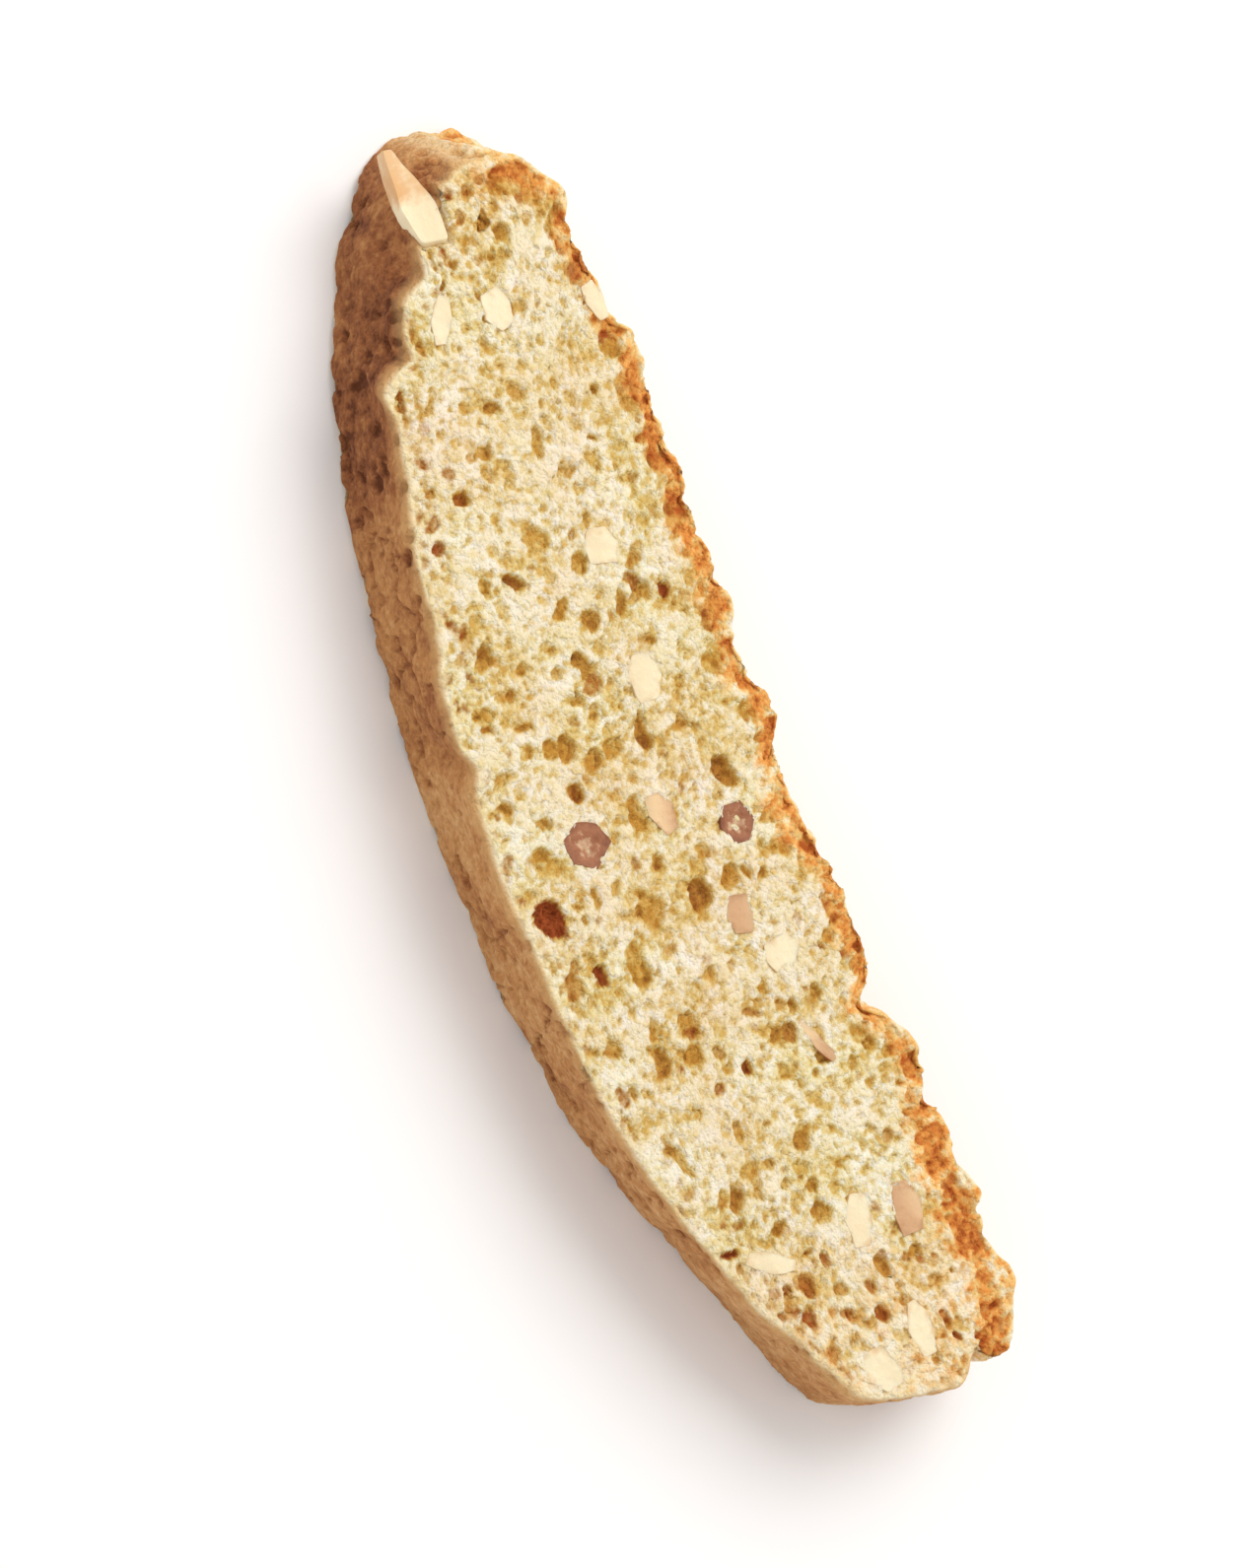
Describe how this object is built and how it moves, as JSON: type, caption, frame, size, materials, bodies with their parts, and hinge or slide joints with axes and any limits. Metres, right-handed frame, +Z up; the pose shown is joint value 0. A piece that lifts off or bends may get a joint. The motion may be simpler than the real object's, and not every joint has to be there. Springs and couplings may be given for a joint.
{
  "type": "biscotto",
  "caption": "Almond biscotto: a long bias-cut slice of twice-baked loaf with a domed crust side, a flat browned side, porous cut faces and chopped almonds.",
  "frame": {"origin": "middle of the slice's box in X and Y, on the cut face that it lies on (z 0)", "axes": "+X along the slice, -Y the domed crust side, +Y the flat browned side that lay on the baking sheet, +Z up out of the shown cut face"},
  "size_m": [0.1302, 0.0346, 0.013],
  "materials": {
    "baked_dough": "matte, porous, browned at the crust",
    "blanched": "matte, cream, cut almond",
    "toasted": "matte, tan, toasted almond",
    "brown_skin": "satin, brown almond skin"
  },
  "bodies": {
    "root": {"biscotto": "baked_dough", "almond_01": "blanched", "almond_02": "blanched", "almond_03": "blanched", "almond_04": "blanched", "almond_05": "blanched", "almond_06": "toasted", "almond_07": "brown_skin", "almond_08": "brown_skin", "almond_09": "toasted", "almond_10": "blanched", "almond_11": "toasted", "almond_12": "toasted", "almond_13": "blanched", "almond_14": "blanched", "almond_15": "blanched", "almond_16": "blanched", "almond_17": "blanched", "almond_18": "toasted", "almond_19": "blanched", "almond_20": "blanched", "almond_21": "toasted", "almond_22": "blanched", "almond_23": "toasted", "almond_24": "blanched", "almond_25": "blanched", "almond_26": "toasted", "almond_27": "toasted", "almond_28": "toasted", "almond_29": "blanched"}
  },
  "joints": []
}
